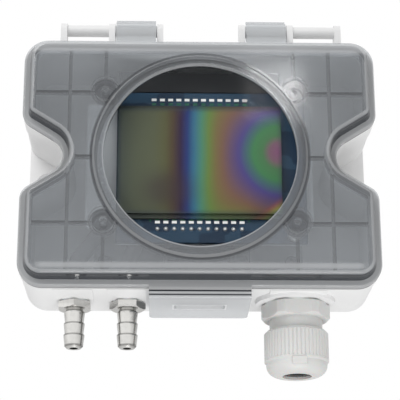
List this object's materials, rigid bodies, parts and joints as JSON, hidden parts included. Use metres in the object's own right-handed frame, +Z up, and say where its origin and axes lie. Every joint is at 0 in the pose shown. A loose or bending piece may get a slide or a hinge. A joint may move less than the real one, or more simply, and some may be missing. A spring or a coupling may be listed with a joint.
{
  "type": "differential pressure transmitter",
  "caption": "Wall-mounted differential pressure transmitter: waisted light grey case, hinged smoked lid with a round window, display, hose barbs and a cable gland.",
  "frame": {"origin": "middle of the flat rear face that lies on the wall, at the height of the lid's centre", "axes": "+Z up along the wall, +X to the right seen from the front, -Y out of the wall towards the viewer"},
  "size_m": [0.108, 0.037, 0.1119],
  "materials": {
    "abs_light_grey": "light grey ABS, fine matt",
    "seal_rubber": "black rubber",
    "smoked_polycarbonate": "smoked translucent polycarbonate, glossy",
    "clear_polycarbonate": "clear polycarbonate, polished",
    "circuit_board": "blue solder resist on glass fibre",
    "zinc_steel": "zinc-plated steel",
    "carrier_plastic": "grey moulded plastic",
    "display_glass": "display glass with an interference film",
    "tinned_metal": "tinned pins",
    "black_plastic": "black moulded plastic",
    "nickel_brass": "nickel-plated brass, turned",
    "hose_silicone": "translucent silicone",
    "gland_nylon": "light grey nylon",
    "dark_plate": "dark grey plate, fine matt",
    "switch_red": "red plastic",
    "switch_white": "white plastic",
    "capacitor_can": "aluminium can"
  },
  "bodies": {
    "case": {"rear_housing": "abs_light_grey", "lid_seal": "seal_rubber", "main_board": "circuit_board", "board_screws": "zinc_steel", "display_carrier": "carrier_plastic", "display_board": "circuit_board", "display_screws": "zinc_steel", "display_glass": "display_glass", "display_pins": "tinned_metal", "name_plate": "dark_plate", "header_socket": "black_plastic", "header_pins": "black_plastic", "pressure_sensor": "black_plastic", "high_port": "nickel_brass", "low_port": "nickel_brass", "high_hose": "hose_silicone", "low_hose": "hose_silicone", "port_washers": "seal_rubber", "port_nuts": "nickel_brass", "gland_washer": "seal_rubber", "gland_body": "gland_nylon", "gland_locknut": "gland_nylon", "gland_seal": "seal_rubber", "terminal_block": "black_plastic", "terminal_screws": "zinc_steel", "switch_bank": "switch_red", "zero_switch": "black_plastic", "board_chips": "black_plastic", "board_capacitors": "capacitor_can"},
    "lid": {"lid": "smoked_polycarbonate", "window_lens": "clear_polycarbonate"},
    "dome_nut": {"gland_dome_nut": "gland_nylon"},
    "zero_button": {"zero_button": "switch_white"},
    "slider_1": {"switch_slider_1": "switch_white"},
    "slider_2": {"switch_slider_2": "switch_white"},
    "slider_3": {"switch_slider_3": "switch_white"},
    "slider_4": {"switch_slider_4": "switch_white"}
  },
  "joints": [
    {"name": "lid_hinge", "type": "hinge", "parent": "case", "child": "lid", "pos_m": [0, -0.0255, 0.0452], "axis": [-1, 0, 0], "range_deg": [0, 115]},
    {"name": "dome_nut_turn", "type": "hinge", "parent": "case", "child": "dome_nut", "pos_m": [0.0294, -0.014, -0.052], "axis": [0, 0, -1], "range_deg": [0, 360]},
    {"name": "zero_press", "type": "slide", "parent": "case", "child": "zero_button", "axis": [0, 1, 0], "range_m": [0, 0.0003], "stiffness_N_per_m": 800},
    {"name": "slider_1_slide", "type": "slide", "parent": "case", "child": "slider_1", "axis": [0, 0, 1], "range_m": [0, 0.0015]},
    {"name": "slider_2_slide", "type": "slide", "parent": "case", "child": "slider_2", "axis": [0, 0, 1], "range_m": [0, 0.0015]},
    {"name": "slider_3_slide", "type": "slide", "parent": "case", "child": "slider_3", "axis": [0, 0, 1], "range_m": [0, 0.0015]},
    {"name": "slider_4_slide", "type": "slide", "parent": "case", "child": "slider_4", "axis": [0, 0, 1], "range_m": [0, 0.0015]}
  ]
}
